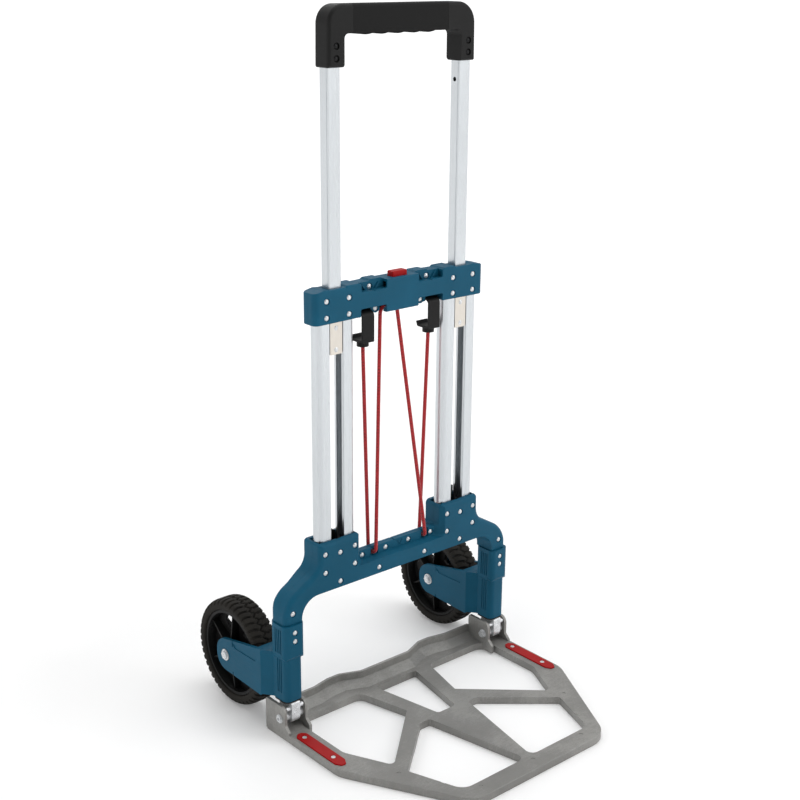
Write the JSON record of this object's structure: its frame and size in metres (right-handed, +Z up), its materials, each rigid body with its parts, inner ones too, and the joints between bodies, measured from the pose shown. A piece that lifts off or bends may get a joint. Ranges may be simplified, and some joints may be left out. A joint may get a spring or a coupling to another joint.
{
  "type": "folding luggage cart",
  "caption": "Folding hand cart: telescopic handle on paired rails, fold-up platform, wheel arms that swing in, elastic cord with hooks.",
  "frame": {"origin": "On the floor under the middle of the whole cart", "axes": "+X across the cart to its right side as seen from the load side, -Y to the load side, +Z up"},
  "size_m": [0.5068, 0.563, 1.106],
  "materials": {
    "rail_aluminium": "satin anodised",
    "cast_aluminium": "rough cast, coated grey",
    "plate_metal": "brushed",
    "zinc_steel": "bright zinc",
    "black_metal": "black oxide",
    "teal_plastic": "fine moulded grain",
    "red_plastic": "semi-gloss",
    "black_plastic": "fine grain",
    "grip_rubber": "textured soft grip",
    "tyre_rubber": "matt rubber",
    "cord_fabric": "braided elastic cord"
  },
  "bodies": {
    "frame": {"rail_outer_left": "rail_aluminium", "rail_outer_right": "rail_aluminium", "rail_inner_left": "rail_aluminium", "rail_inner_right": "rail_aluminium", "leg_core_left": "zinc_steel", "leg_core_right": "zinc_steel", "hinge_block_left": "zinc_steel", "hinge_block_right": "zinc_steel", "hook_left": "black_plastic", "hook_right": "black_plastic", "crossbar_front": "teal_plastic", "crossbar_back": "teal_plastic", "crossbar_rivets": "zinc_steel", "yoke_front": "teal_plastic", "yoke_back": "teal_plastic", "yoke_rivets": "zinc_steel", "stop_plugs": "black_plastic", "cam_pins": "zinc_steel", "button_spring": "zinc_steel", "elastic_cord": "cord_fabric"},
    "handle": {"handle_tube_left": "rail_aluminium", "handle_tube_right": "rail_aluminium", "slider_block_left": "black_plastic", "slider_block_right": "black_plastic", "slider_plate_left": "plate_metal", "slider_plate_right": "plate_metal", "slider_rivets": "zinc_steel", "handle_shell": "black_plastic", "handle_grip": "grip_rubber", "handle_rivets": "black_metal"},
    "button": {"release_button": "red_plastic"},
    "platform": {"marker_strip_left": "red_plastic", "marker_strip_right": "red_plastic", "hinge_bolt_left": "zinc_steel", "hinge_bolt_right": "zinc_steel", "platform": "cast_aluminium", "strip_screws": "zinc_steel", "hinge_nuts": "zinc_steel", "hinge_washers": "zinc_steel"},
    "latch_left": {"latch_slide_left": "black_plastic"},
    "arm_left": {"fork_left": "teal_plastic", "fork_rivets_left": "zinc_steel", "swivel_bushes_left": "black_plastic", "axle_bolt_left": "zinc_steel", "axle_nut_left": "zinc_steel"},
    "wheel_left": {"wheel_rim_left": "black_plastic", "tyre_left": "tyre_rubber", "hub_bush_left": "black_plastic"},
    "latch_right": {"latch_slide_right": "black_plastic"},
    "arm_right": {"fork_right": "teal_plastic", "fork_rivets_right": "zinc_steel", "swivel_bushes_right": "black_plastic", "axle_bolt_right": "zinc_steel", "axle_nut_right": "zinc_steel"},
    "wheel_right": {"wheel_rim_right": "black_plastic", "tyre_right": "tyre_rubber", "hub_bush_right": "black_plastic"}
  },
  "joints": [
    {"name": "handle_slide", "type": "slide", "parent": "frame", "child": "handle", "axis": [0, 0, 1], "range_m": [-0.311, 0]},
    {"name": "button_press", "type": "slide", "parent": "frame", "child": "button", "axis": [0, 0, -1], "range_m": [0, 0.0045], "stiffness_N_per_m": 500, "springref_m": -0.002, "deforming": ["button_spring"]},
    {"name": "platform_fold", "type": "hinge", "parent": "frame", "child": "platform", "pos_m": [0, 0.053, 0.033], "axis": [-1, 0, 0], "range_deg": [0, 90]},
    {"name": "latch_left_slide", "type": "slide", "parent": "frame", "child": "latch_left", "axis": [1, 0, 0], "range_m": [0, 0.0045]},
    {"name": "left_swivel", "type": "hinge", "parent": "frame", "child": "arm_left", "pos_m": [-0.221, 0.0625, 0.1], "axis": [0, 0, -1], "range_deg": [0, 90]},
    {"name": "left_wheel_spin", "type": "hinge", "parent": "arm_left", "child": "wheel_left", "pos_m": [-0.221, 0.192, 0.0895], "axis": [1, 0, 0], "continuous": true},
    {"name": "latch_right_slide", "type": "slide", "parent": "frame", "child": "latch_right", "axis": [-1, 0, 0], "range_m": [0, 0.0045]},
    {"name": "right_swivel", "type": "hinge", "parent": "frame", "child": "arm_right", "pos_m": [0.221, 0.0625, 0.1], "axis": [0, 0, 1], "range_deg": [0, 90]},
    {"name": "right_wheel_spin", "type": "hinge", "parent": "arm_right", "child": "wheel_right", "pos_m": [0.221, 0.192, 0.0895], "axis": [1, 0, 0], "continuous": true}
  ],
  "couplings": [
    {"joint": "latch_left_slide", "follows": "button_press", "ratio": 1},
    {"joint": "left_swivel", "follows": "platform_fold", "ratio": 1},
    {"joint": "latch_right_slide", "follows": "button_press", "ratio": 1},
    {"joint": "right_swivel", "follows": "platform_fold", "ratio": 1}
  ]
}
